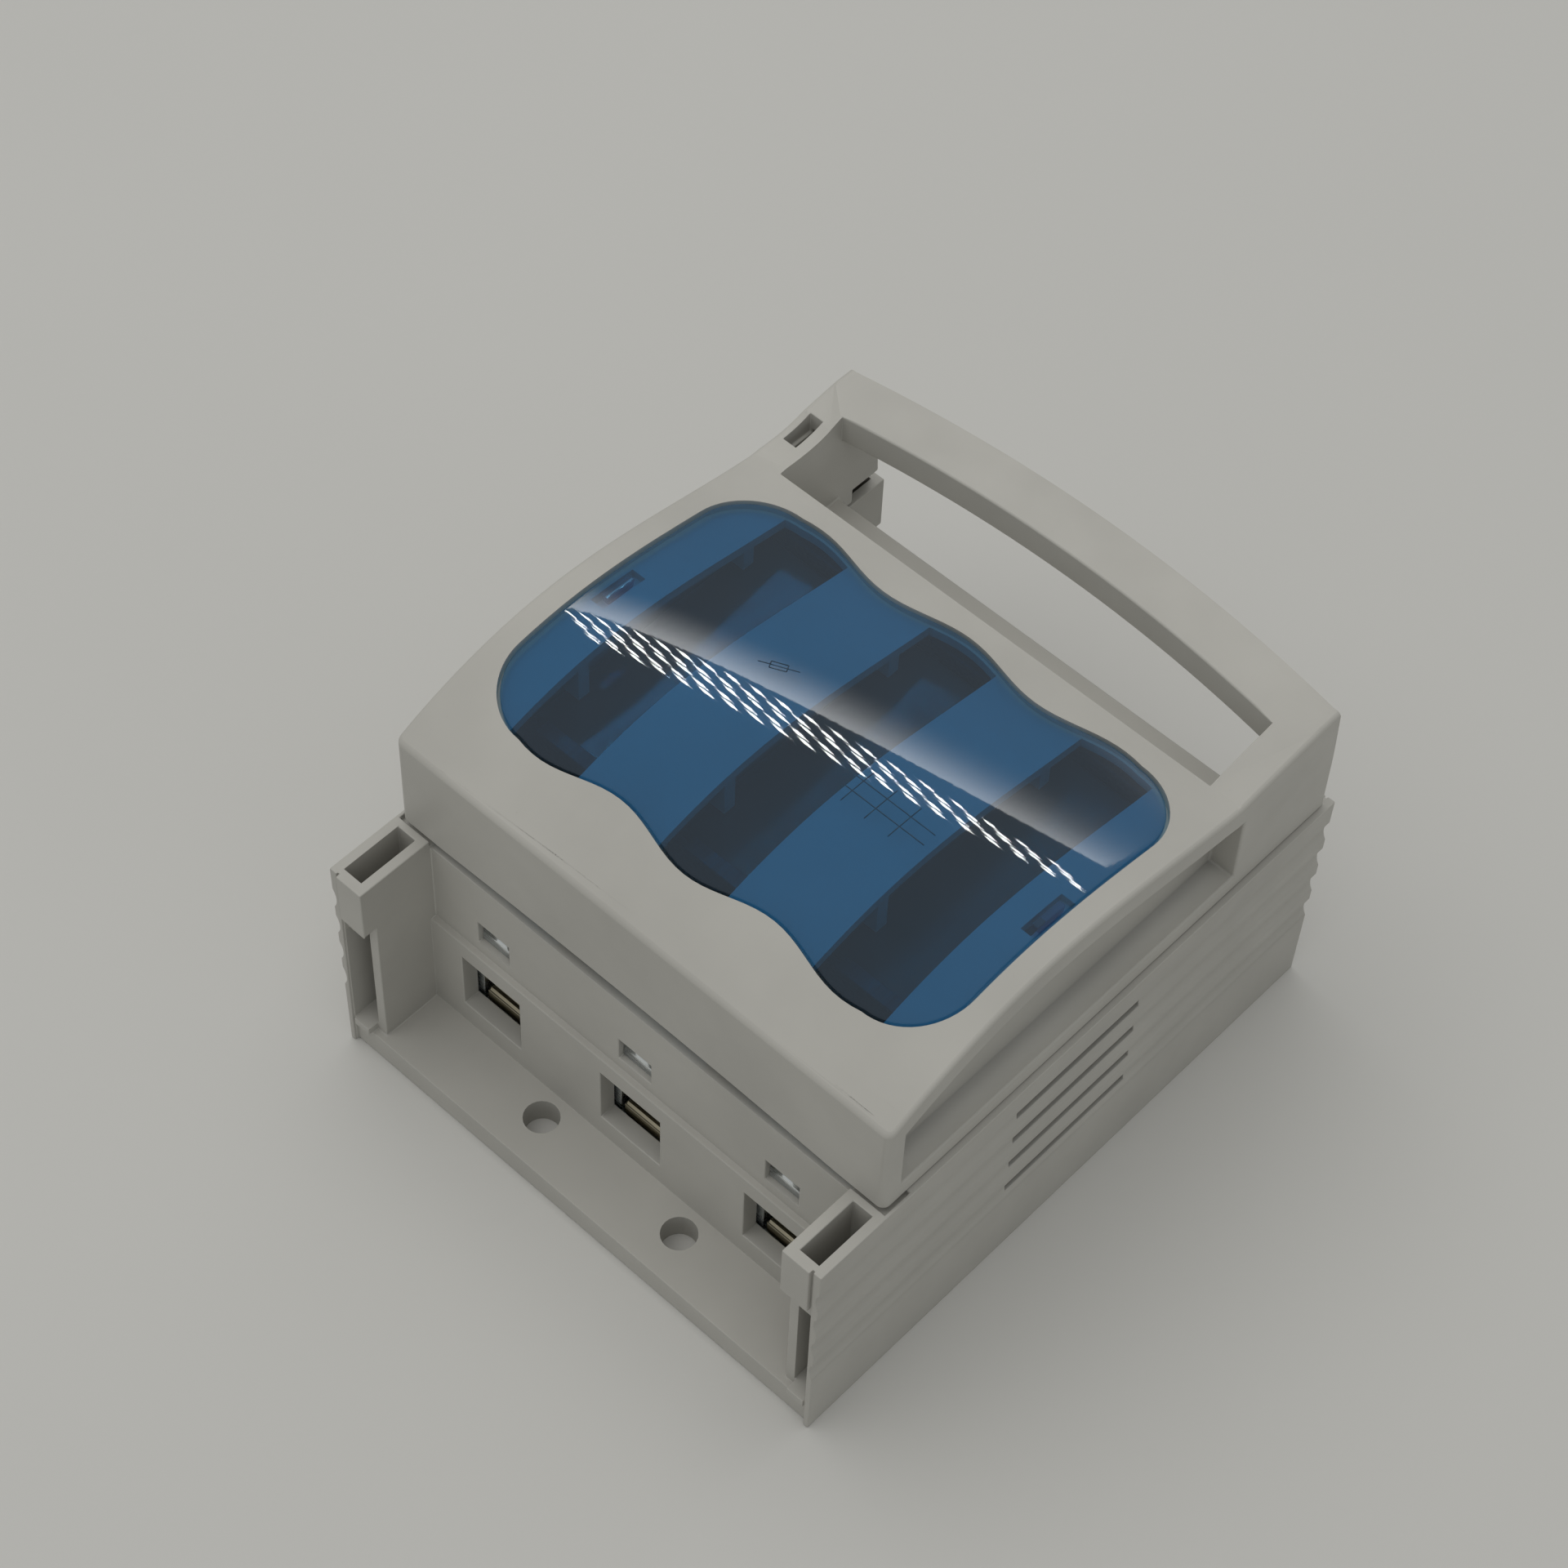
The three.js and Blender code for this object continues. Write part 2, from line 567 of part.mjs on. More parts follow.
function makeHingePin(x) {
  const reach = EAR.far + HINGE.pinEnd;
  return barX(HINGE.pin, x - reach, x + reach, HINGE.y, HINGE.z);
}

// ------------------------------------------------------------------------ terminals

// Contact of one pole at the front end: a ridged tail for the wire and two jaw plates.
function makeContact(x) {
  const y = ROOM.front;
  const { tail, jaw, fixing } = TERMINAL;
  const plate = box(x - tail.half, x + tail.half, y + tail.from, y + tail.to, tail.low, tail.high);
  const side = polygon([
    [y + jaw.root, tail.low], [y + jaw.to, tail.low], [y + jaw.to, jaw.high],
    [y + jaw.from, jaw.high], [y + jaw.from, jaw.low], [y + jaw.root, jaw.low],
  ]);
  const right = prismX(side, x + jaw.inner, x + jaw.outer);
  const left = prismX(side, x - jaw.outer, x - jaw.inner);
  const contact = join(plate, right, left, ...tailRidges(x));
  return cut(contact, barZ(fixing.bore, x, y + fixing.t, tail.low - BITE, tail.high + BITE));
}

// Ridges across the tail that bite into the wire.
function tailRidges(x) {
  const { tail, jaw, ridge } = TERMINAL;
  const pitch = (jaw.root - tail.from) / (ridge.count + 1);
  const halfPitch = pitch / 2 - ridge.valley;
  const ridges = [];
  for (let i = 0; i < ridge.count; i += 1) {
    const y = ROOM.front + tail.from + pitch * (i + 0.5);
    const outline = polygon([
      [y - halfPitch, tail.high - ridge.root], [y + halfPitch, tail.high - ridge.root],
      [y, tail.high + ridge.height],
    ]);
    ridges.push(prismX(outline, x - ridge.half, x + ridge.half));
  }
  return ridges;
}

// U-shaped leaf spring that presses the jaw plates together.
function makeJawSpring(x) {
  const { inner, outer, from, to, low, sole, high } = TERMINAL.spring;
  const y = ROOM.front;
  const outline = polygon([
    [x - outer, low], [x + outer, low], [x + outer, high], [x + inner, high],
    [x + inner, sole], [x - inner, sole], [x - inner, high], [x - outer, high],
  ]);
  return prismY(outline, y + from, y + to);
}

// Rectangular cage round the wire space, with the screw's threaded hole in its roof.
function makeClampCage(x) {
  const { inner, outer, from, to, low, sole, roof, top, seam } = TERMINAL.cage;
  const { t, bore } = TERMINAL.screw;
  const y = ROOM.front;
  const [x0, x1] = [x - outer, x + outer];
  const frame = box(x0, x1, y + from, y + to, low, top);
  const space = box(x - inner, x + inner, y + from - BITE, y + to + BITE, sole, roof);
  const lap = (roof + top - seam) / 2;
  const groove = box(x0 - BITE, x1 + BITE, y + from - BITE, y + from + seam, lap, lap + seam);
  return cut(frame, space, groove, barZ(bore, x, y + t, roof - BITE, top + BITE));
}

function makePressurePad(x) {
  const { half, from, to, low, high } = TERMINAL.pad;
  const y = ROOM.front;
  return box(x - half, x + half, y + from, y + to, low, high);
}

function makeClampScrew(x) {
  const { t, radius, low, high, socket, socketDepth } = TERMINAL.screw;
  const y = ROOM.front + t;
  return cut(barZ(radius, x, y, low, high), barZ(socket, x, y, high - socketDepth, high + BITE, 6));
}

// Pan-head screw that holds the contact's tail on the base.
function makeFixingScrew(x) {
  const { t, head, shank, low, headLow, headHigh, slotHalf, slotDepth } = TERMINAL.fixing;
  const y = ROOM.front + t;
  const slot = box(x - head, x + head, y - slotHalf, y + slotHalf, headHigh - slotDepth, headHigh + BITE);
  return cut(join(barZ(shank, x, y, low, headLow + BITE), barZ(head, x, y, headLow, headHigh)), slot);
}

// ------------------------------------------------------------------------ fuse links

// Knife blade with its leading corners cut off, at the front end.
function makeBlade(x) {
  const { front, plate, bladeHalf, bladeLow, bladeTop, chamfer, nick } = LINK;
  const outline = polygon([
    [front + chamfer, bladeLow], [plate - GAP, bladeLow], [plate - GAP, bladeTop],
    [front + nick, bladeTop], [front, bladeTop - nick], [front, bladeLow + chamfer],
  ]);
  return prismX(outline, x - bladeHalf, x + bladeHalf);
}

// End plate with the turned-out lug that a grip handle takes hold of, at the front end.
function makeEndPlate(x) {
  const { plate, plateThickness, plateHalf, plateLow, bodyTop, lugHalf, lugFront, lugTop, lugThickness } = LINK;
  const back = plate + plateThickness;
  const sheet = box(x - plateHalf, x + plateHalf, plate, back, plateLow, bodyTop);
  const neck = box(x - lugHalf, x + lugHalf, plate, back, bodyTop - BITE, lugTop);
  const lug = box(x - lugHalf, x + lugHalf, lugFront, back, lugTop - lugThickness, lugTop);
  return join(sheet, neck, lug);
}

// Porcelain body with bevelled long edges.
function makeLinkBody(x) {
  const { plate, plateThickness, half, low, bodyTop, bevel } = LINK;
  const outline = polygon([
    [x - half + bevel, low], [x + half - bevel, low], [x + half, low + bevel], [x + half, bodyTop - bevel],
    [x + half - bevel, bodyTop], [x - half + bevel, bodyTop], [x - half, bodyTop - bevel], [x - half, low + bevel],
  ]);
  const from = plate + plateThickness + GAP;
  return prismY(outline, from, linkMiddle * 2 - from);
}

const linkMiddle = (LINK.front + LINK.rear) / 2;

// Turns a solid at the front end of a fuse link into the matching one at its rear end.
const linkToRear = (solid) => solid.mirror([0, 1, 0]).translate([0, linkMiddle * 2, 0]);

// ------------------------------------------------------------------------ assembly

const part = new THREE.Group();
part.position.y = -(Y_MIN + Y_MAX) / 2;

function addPiece(name, solid, material) {
  const mesh = new THREE.Mesh(toGeometry(solid), material());
  mesh.name = name;
  part.add(mesh);
}

addPiece('base', makeBase(), greyPlastic);
addPiece('cover', makeCover(), greyPlastic);
addPiece('window', makeWindow(), bluePlastic);
addPiece('hinge_pin_left', makeHingePin(POLE_GAP_X[0]), zincSteel);
addPiece('hinge_pin_right', makeHingePin(POLE_GAP_X[1]), zincSteel);

const TERMINAL_PIECES = [
  ['contact', makeContact, brass],
  ['jaw_spring', makeJawSpring, springSteel],
  ['clamp_cage', makeClampCage, zincSteel],
  ['clamp_screw', makeClampScrew, zincSteel],
  ['pressure_pad', makePressurePad, zincSteel],
  ['fixing_screw', makeFixingScrew, zincSteel],
];
const LINK_PIECES = [
  ['link_blade', makeBlade, tinnedCopper],
  ['link_end_plate', makeEndPlate, zincSteel],
];

POLES.forEach((x, index) => {
  const pole = index + 1;
  for (const [name, make, material] of TERMINAL_PIECES) {
    const front = make(x);
    addPiece(`${name}_front_${pole}`, front, material);
    addPiece(`${name}_rear_${pole}`, roomToRear(front), material);
  }
  addPiece(`link_body_${pole}`, makeLinkBody(x), darkCeramic);
  for (const [name, make, material] of LINK_PIECES) {
    const front = make(x);
    addPiece(`${name}_front_${pole}`, front, material);
    addPiece(`${name}_rear_${pole}`, linkToRear(front), material);
  }
});

export default part;
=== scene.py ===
"""Looks for the three-pole fuse switch: grey moulded tray and cover, blue window, plated metal.

Sizes written here are in millimetres unless a comment says metres. They go through mm() or point(),
because Blender itself works in metres.
"""

import json
import math

import bmesh
import bpy
from mathutils import Matrix, Vector
from mathutils.bvhtree import BVHTree

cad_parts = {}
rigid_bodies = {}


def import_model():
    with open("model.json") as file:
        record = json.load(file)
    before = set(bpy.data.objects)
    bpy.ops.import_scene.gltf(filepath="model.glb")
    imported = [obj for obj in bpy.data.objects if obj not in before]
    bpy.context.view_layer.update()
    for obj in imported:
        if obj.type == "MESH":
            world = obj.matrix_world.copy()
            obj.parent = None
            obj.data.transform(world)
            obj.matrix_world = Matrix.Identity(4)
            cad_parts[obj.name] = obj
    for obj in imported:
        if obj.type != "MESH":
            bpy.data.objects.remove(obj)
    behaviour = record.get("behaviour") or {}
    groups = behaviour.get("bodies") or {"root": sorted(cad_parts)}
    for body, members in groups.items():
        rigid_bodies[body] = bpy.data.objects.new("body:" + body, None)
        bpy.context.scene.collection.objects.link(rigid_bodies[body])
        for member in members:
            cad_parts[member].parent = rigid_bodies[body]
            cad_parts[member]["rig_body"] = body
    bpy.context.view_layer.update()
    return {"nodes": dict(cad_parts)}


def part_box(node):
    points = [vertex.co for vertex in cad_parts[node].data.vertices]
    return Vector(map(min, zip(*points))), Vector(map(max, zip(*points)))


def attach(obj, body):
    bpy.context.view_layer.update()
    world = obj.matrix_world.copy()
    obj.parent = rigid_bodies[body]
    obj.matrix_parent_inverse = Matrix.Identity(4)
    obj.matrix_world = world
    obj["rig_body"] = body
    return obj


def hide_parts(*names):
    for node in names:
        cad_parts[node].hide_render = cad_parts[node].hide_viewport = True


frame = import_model()

MIDDLE_Y = 52.2   # the part is drawn with y = 0 at the front of its base
TOUCHING = 0.002  # points that are closer than this count as one


def mm(value):
    """Millimetres as metres."""
    return value / 1000.0


def point(x, y, z):
    """A point of the drawing, in millimetres, as a place in the scene."""
    return Vector((mm(x), mm(y - MIDDLE_Y), mm(z)))


# ------------------------------------------------------------------ node-based materials

NOISE_LOW, NOISE_HIGH = 0.3, 0.7  # nearly all values of a noise lie between these
MIX_SHARE, MIX_FIRST, MIX_SECOND, MIX_RESULT = 0, 6, 7, 2  # sockets of a Mix node for colours
HAZE = 0.16  # share of the window's own colour in what is seen through it


def scaled(colour, factor):
    """A colour made darker or lighter."""
    return tuple(channel * factor for channel in colour)


class Shader:
    """A material with one Principled shader, and short calls that add and link nodes."""

    def __init__(self, name, **sockets):
        self.material = bpy.data.materials.new(name)
        self.material.use_nodes = True
        self.tree = self.material.node_tree
        self.main = self.tree.nodes["Principled BSDF"]
        for socket, value in sockets.items():
            self.main.inputs[socket.replace("_", " ")].default_value = value

    def node(self, kind, inputs=None, **settings):
        """A new node: its inputs are values, or sockets to link, and its settings are its own properties."""
        made = self.tree.nodes.new("ShaderNode" + kind)
        for key, value in settings.items():
            setattr(made, key, value)
        for key, value in (inputs or {}).items():
            if isinstance(value, bpy.types.NodeSocket):
                self.tree.links.new(value, made.inputs[key])
            else:
                made.inputs[key].default_value = value
        return made

    def place(self, scale=(1, 1, 1), turn=(0, 0, 0)):
        """Object coordinates, in metres, scaled and turned."""
        source = self.node("TexCoord").outputs["Object"]
        inputs = {"Vector": source, "Scale": scale, "Rotation": turn}
        return self.node("Mapping", inputs).outputs["Vector"]

    def noise(self, scale, detail=3.0, rough=0.5, place=None):
        """Cloudy values with about scale cells in a metre."""
        inputs = {"Vector": place or self.place(), "Scale": scale, "Detail": detail, "Roughness": rough}
        return self.node("TexNoise", inputs).outputs["Fac"]

    def ramp(self, value, stops):
        """Colours or greys at positions from 0 to 1 of a value."""
        made = self.node("ValToRGB", {"Fac": value})
        elements = made.color_ramp.elements
        while len(elements) < len(stops):
            elements.new(0.5)
        for element, (position, colour) in zip(elements, stops):
            element.position = position
            element.color = (*colour, 1) if hasattr(colour, "__len__") else (colour, colour, colour, 1)
        return made.outputs["Color"]

    def mottle(self, noise, dark, light):
        """A colour that wanders from dark to light with a noise."""
        return self.ramp(noise, [(NOISE_LOW, dark), (NOISE_HIGH, light)])

    def spread(self, noise, low, high):
        """A number that wanders from low to high with a noise."""
        inputs = {"Value": noise, "From Min": NOISE_LOW, "From Max": NOISE_HIGH}
        inputs |= {"To Min": low, "To Max": high}
        return self.node("MapRange", inputs).outputs["Result"]

    def multiply(self, first, second):
        """Two colours multiplied."""
        inputs = {MIX_SHARE: 1.0, MIX_FIRST: first, MIX_SECOND: second}
        return self.node("Mix", inputs, data_type="RGBA", blend_type="MULTIPLY").outputs[MIX_RESULT]

    def blend(self, share, first, second):
        """Two shaders blended, with a share of the second."""
        return self.node("MixShader", {0: share, 1: first, 2: second}).outputs[0]

    def set(self, socket, value):
        """Links a value to one of the Principled shader's sockets."""
        self.tree.links.new(value, self.main.inputs[socket])

    def show(self, surface):
        """Makes a shader the material's surface."""
        self.tree.links.new(surface, self.tree.nodes["Material Output"].inputs["Surface"])

    def bump(self, height, strength, distance):
        """Fine relief on the whole surface."""
        inputs = {"Height": height, "Strength": strength, "Distance": distance}
        self.set("Normal", self.node("Bump", inputs).outputs["Normal"])


def moulded_plastic(name, colour, roughness=0.42):
    """Satin injection-moulded plastic: a fine spark-eroded grain, faint clouding and dust."""
    shader = Shader(name, Specular_IOR_Level=0.4)
    clouded = shader.mottle(shader.noise(45, 4), scaled(colour, 0.94), scaled(colour, 1.05))
    dust = shader.noise(900, 2, 0.7)
    specks = shader.ramp(dust, [(0.0, 0.86), (0.24, 0.97), (0.3, 1.0), (1.0, 1.0)])
    shader.set("Base Color", shader.multiply(clouded, specks))
    shader.set("Roughness", shader.spread(shader.noise(160, 3), roughness - 0.05, roughness + 0.08))
    shader.bump(shader.noise(5200, 2, 0.6), 0.12, mm(0.02))
    return shader.material


def plated_metal(name, colour, roughness, brushing=(1, 1, 1), stain=0.85):
    """Rolled sheet metal with a plated finish: drawn lines, dull patches and small stains."""
    shader = Shader(name, Metallic=1.0)
    lines = shader.noise(1500, 3, 0.6, shader.place(brushing))
    patches = shader.noise(260, 4)
    shader.set("Base Color", shader.ramp(patches, [(0.32, scaled(colour, stain)), (0.62, colour)]))
    shader.set("Roughness", shader.spread(lines, roughness * 0.7, roughness * 1.5))
    shader.bump(lines, 0.1, mm(0.01))
    return shader.material


def glazed_porcelain(name, colour):
    """Dark fired body under a thin clear glaze, slightly uneven; made this dark partly as painted shade, so
    the window's slots stay dark.
    """
    shader = Shader(name, Coat_Weight=0.6, Coat_Roughness=0.12)
    shader.set("Base Color", shader.mottle(shader.noise(120, 4), scaled(colour, 0.75), colour))
    shader.set("Roughness", shader.spread(shader.noise(300, 3), 0.3, 0.5))
    shader.bump(shader.noise(700, 3), 0.15, mm(0.03))
    return shader.material


def blue_acrylic(name):
    """Clear blue window: a filter with a faint body colour, and a gloss that grows at flat angles."""
    shader = Shader(name, Roughness=0.25, Specular_IOR_Level=0.0)
    shader.set("Base Color", shader.mottle(shader.noise(60, 3), (0.10, 0.17, 0.25), (0.12, 0.19, 0.28)))
    slope = shader.node("LayerWeight", {"Blend": 0.35}).outputs["Facing"]
    face_on, slanted, edge_on = (0.16, 0.49, 0.77), (0.14, 0.46, 0.74), (0.03, 0.16, 0.36)
    tint = shader.ramp(slope, [(0.0, face_on), (0.75, slanted), (1.0, edge_on)])
    filter_sheet = shader.node("BsdfTransparent", {"Color": tint}).outputs[0]
    body = shader.blend(HAZE, filter_sheet, shader.main.outputs[0])
    ripple = shader.noise(900, 2, 0.5, shader.place((1, 0.5, 1)))
    slant = shader.node("Bump", {"Height": ripple, "Strength": 0.05, "Distance": mm(0.02)})
    gloss_inputs = {"Color": (0.95, 0.97, 1, 1), "Roughness": 0.02, "Normal": slant.outputs["Normal"]}
    gloss = shader.node("BsdfAnisotropic", gloss_inputs).outputs[0]
    mirror = shader.node("Fresnel", {"IOR": 1.5}).outputs["Fac"]
    glazed = shader.blend(mirror, body, gloss)
    way_out = shader.node("BsdfTransparent", {"Color": (1, 1, 1, 1)}).outputs[0]
    inside = shader.node("NewGeometry").outputs["Backfacing"]
    shader.show(shader.blend(inside, glazed, way_out))
    return shader.material


def printing_ink(name):
    """Thin dark print on the window, a little worn."""
    shader = Shader(name, Roughness=0.5)
    shader.set("Base Color", shader.mottle(shader.noise(1800, 3), (0.012, 0.03, 0.05), (0.02, 0.06, 0.1)))
    return shader.material


PLASTIC_COLOUR = (0.475, 0.465, 0.43)

plastic = moulded_plastic("moulded_plastic", PLASTIC_COLOUR)
tray_plastic = moulded_plastic("tray_plastic", scaled(PLASTIC_COLOUR, 0.98), 0.46)
zinc = plated_metal("zinc_plate", (0.80, 0.84, 0.86), 0.26, (0.05, 1, 1), 0.93)
dull_steel = plated_metal("dull_steel", (0.10, 0.10, 0.11), 0.45, (1, 0.05, 1))
spring_metal = plated_metal("spring_steel", (0.30, 0.31, 0.34), 0.32, (1, 1, 0.05))
contact_metal = plated_metal("contact_brass", (0.52, 0.47, 0.35), 0.32, (0.05, 1, 1))
blade_metal = plated_metal("blade_silver", (0.75, 0.73, 0.68), 0.24, (1, 0.05, 1))
# the fuse-link bodies are near black partly as painted shade, so the window's slots stay dark
porcelain_dark_as_shade = glazed_porcelain("brown_porcelain", (0.05, 0.028, 0.02))
acrylic = blue_acrylic("blue_acrylic")
ink = printing_ink("printing_ink")

# ------------------------------------------------------------------ rounded copies of CAD nodes

MERGE = 0.012                  # corners of a solid that are closer than this become one
FLAT_TURN = 0.1                # degrees between the triangles of one flat face, at most
SHARP_TURN = 28.0              # degrees between two faces whose edge is rounded, at least
SMOOTH_TURN = 35.0             # degrees between edges of one smooth line, at most
ROOM_SHARE = 0.42              # part of the room beside an edge that its rounding may take
ROOM_PLACES = (0.1, 0.5, 0.9)  # places along an edge where that room is measured
LEAST_ROOM = 0.01              # a distance under this is the edge itself
ROUNDING_STEPS = 2             # faces across a rounding


def clean_solid(node, mend):
    """The node's shape with its triangles joined back into whole faces."""
    shape = bmesh.new()
    shape.from_mesh(frame["nodes"][node].data)
    mend(shape)
    bmesh.ops.remove_doubles(shape, verts=shape.verts, dist=mm(MERGE))
    flat = math.radians(FLAT_TURN)
    bmesh.ops.dissolve_limit(shape, angle_limit=flat, verts=shape.verts, edges=shape.edges)
    bmesh.ops.recalc_face_normals(shape, faces=shape.faces)
    return shape


def carries_on(edge, other):
    """Whether two edges that share a corner follow each other in a smooth line."""
    shared = next(vertex for vertex in edge.verts if vertex in other.verts)
    ahead = (edge.other_vert(shared).co - shared.co).normalized()
    back = (other.other_vert(shared).co - shared.co).normalized()
    return ahead.dot(back) < -math.cos(math.radians(SMOOTH_TURN))


def room_across(face, edge):
    """How far a face reaches inwards from one of its edges, at the nearest of a few places along it."""
    start = next(loop for loop in face.loops if loop.edge == edge).vert
    along = edge.other_vert(start).co - start.co
    length = along.length
    along.normalize()
    inward = face.normal.cross(along)
    room = [math.inf]
    for other in face.edges:
        ends = [vertex.co - start.co for vertex in other.verts]
        (u0, v0), (u1, v1) = [(end.dot(along), end.dot(inward)) for end in ends]
        for place in (share * length for share in ROOM_PLACES):
            if min(u0, u1) <= place <= max(u0, u1) and u0 != u1:
                room.append(v0 + (v1 - v0) * (place - u0) / (u1 - u0))
    return min(value for value in room if value > mm(LEAST_ROOM))


def edge_radius(edge, radius):
    """Radius for an edge: smaller beside short edges and narrow faces, so that roundings don't meet."""
    beside = [other.calc_length() for vertex in edge.verts for other in vertex.link_edges
              if other is not edge and not carries_on(edge, other)]
    breadth = min(room_across(face, edge) for face in edge.link_faces)
    return min(radius, ROOM_SHARE * min(beside, default=radius), ROOM_SHARE * breadth)


def even_out(radii, wanted):
    """Edges that follow each other in a smooth line all get the smallest radius among them."""
    pending = list(radii)
    while pending:
        edge = pending.pop()
        for other in {other for vertex in edge.verts for other in vertex.link_edges} - {edge}:
            larger = radii.get(other, 0) > radii[edge]
            if larger and wanted[other] == wanted[edge] and carries_on(edge, other):
                radii[other] = radii[edge]
                pending.append(other)


def whole_radius(edge):
    """Every edge gets the whole radius."""
    return 1.0


def as_it_is(shape):
    """Nothing to mend or to add."""


def rounded(node, name, material, radius, share=whole_radius, mend=as_it_is, add=as_it_is):
    """A piece that stands for a CAD node, with its edges rounded as a moulding or a pressing has them.

    share(edge) is how much of the radius an edge gets, mend(shape) changes the shape before its
    faces are joined, and add(shape) adds finer bodies to it afterwards.
    """
    shape = clean_solid(node, mend)
    weights = shape.edges.layers.float.new("bevel_weight_edge")
    sharp = math.radians(SHARP_TURN)
    edges = [edge for edge in shape.edges if edge.is_manifold and edge.calc_face_angle(0) > sharp]
    wanted = {edge: mm(radius) * share(edge) for edge in edges}
    radii = {edge: edge_radius(edge, wanted[edge]) for edge in edges}
    even_out(radii, wanted)
    for edge in edges:
        edge[weights] = radii[edge] / mm(radius)
        edge.smooth = radii[edge] > 0
    add(shape)
    piece = new_piece(name, shape, material)
    bevel = piece.modifiers.new("round", "BEVEL")
    bevel.limit_method = "WEIGHT"
    bevel.width = mm(radius)
    bevel.segments = ROUNDING_STEPS
    bevel.use_clamp_overlap = False
    piece.modifiers.new("shade", "WEIGHTED_NORMAL").keep_sharp = True
    return stand_for(piece, node)


def new_piece(name, shape, material):
    """An object made of the shape, smooth shaded, which frees the shape."""
    mesh = bpy.data.meshes.new(name)
    shape.to_mesh(mesh)
    shape.free()
    mesh.materials.append(material)
    for polygon in mesh.polygons:
        polygon.use_smooth = True
    piece = bpy.data.objects.new(name, mesh)
    bpy.context.scene.collection.objects.link(piece)
    return piece


def stand_for(piece, node):
    """The piece rides on the node's body and hides the node."""
    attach(piece, frame["nodes"][node]["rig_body"])
    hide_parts(node)
    return piece


def loft(shape, rings):
    """Adds a closed body that runs through rings of points, and returns its faces."""
    loops = [[shape.verts.new(place) for place in ring] for ring in rings]
    faces = [shape.faces.new(loops[0][::-1]), shape.faces.new(loops[-1])]
    count = len(loops[0])
    for lower, upper in zip(loops, loops[1:]):
        for i in range(count):
            j = (i + 1) % count
            faces.append(shape.faces.new((lower[i], lower[j], upper[j], upper[i])))
    return faces


# ------------------------------------------------------------------ the crown of the cover

# The crown in (y, z), as two cubic curves that meet at its peak.
CROWN_FRONT = ((15.6, 59.8), (24.2, 63.5), (33.2, 65.6), (43.0, 65.6))
CROWN_REAR = ((43.0, 65.6), (56.0, 65.6), (68.0, 62.0), (80.6, 60.5))
CROWN_HALVINGS = 30  # each one halves the range in which a place on a curve is sought


def bezier(points, t):
    """The point at t, from 0 to 1, of a cubic curve."""
    a, b, c, d = (Vector(p) for p in points)
    s = 1 - t
    return a * s**3 + b * (3 * s * s * t) + c * (3 * s * t * t) + d * t**3


def crown_height(y):
    """Height of the crown, in drawing millimetres."""
    curve = CROWN_FRONT if y < CROWN_FRONT[-1][0] else CROWN_REAR
    low, high = 0.0, 1.0
    for _ in range(CROWN_HALVINGS):
        t = (low + high) / 2
        low, high = (t, high) if bezier(curve, t).x < y else (low, t)
    return bezier(curve, low).y


# ------------------------------------------------------------------ the window

PANE = {"half": 39.9, "corner": 9.5, "front": 23.2, "rear": 75.2, "wave": 1.2, "pitch": 27.0}
# The pane's section at its edge, as (distance inside the outline, depth under the crown).
PANE_RIM = (
    (0.25, 1.5), (0.06, 1.42), (0.0, 1.25), (0.0, 0.4), (0.03, 0.26), (0.1, 0.16), (0.2, 0.11), (0.32, 0.1),
)
WAVE_STEPS, PANE_CORNER_STEPS = 60, 14  # points along a long side, and round a corner
SLICE = 0.8         # width of the strips that the pane is bent along
SLICE_MARGIN = 3.0  # how far the strips go on past the pane's straight front and rear

# The tapered tabs under both ends of the pane, which snap into pockets of the cover.
SNAP_INNER, SNAP_OUTER = 37.6, 38.8  # distances from the middle
SNAP_FRONT, SNAP_REAR = 45.6, 51.0
SNAP_LOW, SNAP_HIGH = 62.5, 64.2
SNAP_TAPER = 0.4  # how much shorter the lower edge is, at the front and at the rear
SNAP_DEPTH = 1.3  # the tab's top is at least this far under the crown
SNAP_ROUNDING, SNAP_ROUNDING_STEPS = 0.15, 2


def pane_outline(inset):
    """Closed outline with three lobes on each long side, moved inwards by inset."""
    corner = PANE["corner"] - inset
    limit = PANE["half"] - inset - corner

    def front_at(x):
        return PANE["front"] + inset - PANE["wave"] * math.cos(2 * math.pi * x / PANE["pitch"])

    def rear_at(x):
        return PANE["rear"] - inset + PANE["wave"] * math.cos(2 * math.pi * x / PANE["pitch"])

    def arc(x, y, start):
        turns = [math.radians(start + 90 * i / PANE_CORNER_STEPS) for i in range(PANE_CORNER_STEPS)]
        return [(x + corner * math.cos(turn), y + corner * math.sin(turn)) for turn in turns]

    stations = [limit * (2 * i / WAVE_STEPS - 1) for i in range(WAVE_STEPS)]
    low, high = front_at(limit) + corner, rear_at(limit) - corner
    right = arc(limit, low, -90) + arc(limit, high, 0)
    left = arc(-limit, high, 90) + arc(-limit, low, 180)
    return [(x, front_at(x)) for x in stations] + right + [(-x, rear_at(-x)) for x in stations] + left


def bend_to_crown(shape):
    """Cuts a flat shape into strips across the poles, and lifts every point from z = 0 to the crown."""
    reach = PANE["rear"] - PANE["front"] + 2 * SLICE_MARGIN
    for i in range(int(reach / SLICE)):
        cut = point(0, PANE["front"] - SLICE_MARGIN + i * SLICE, 0)
        every = list(shape.verts) + list(shape.edges) + list(shape.faces)
        bmesh.ops.bisect_plane(shape, geom=every, plane_co=cut, plane_no=(0, 1, 0), dist=mm(TOUCHING))
    for vertex in shape.verts:
        vertex.co.z += mm(crown_height(vertex.co.y * 1000 + MIDDLE_Y))


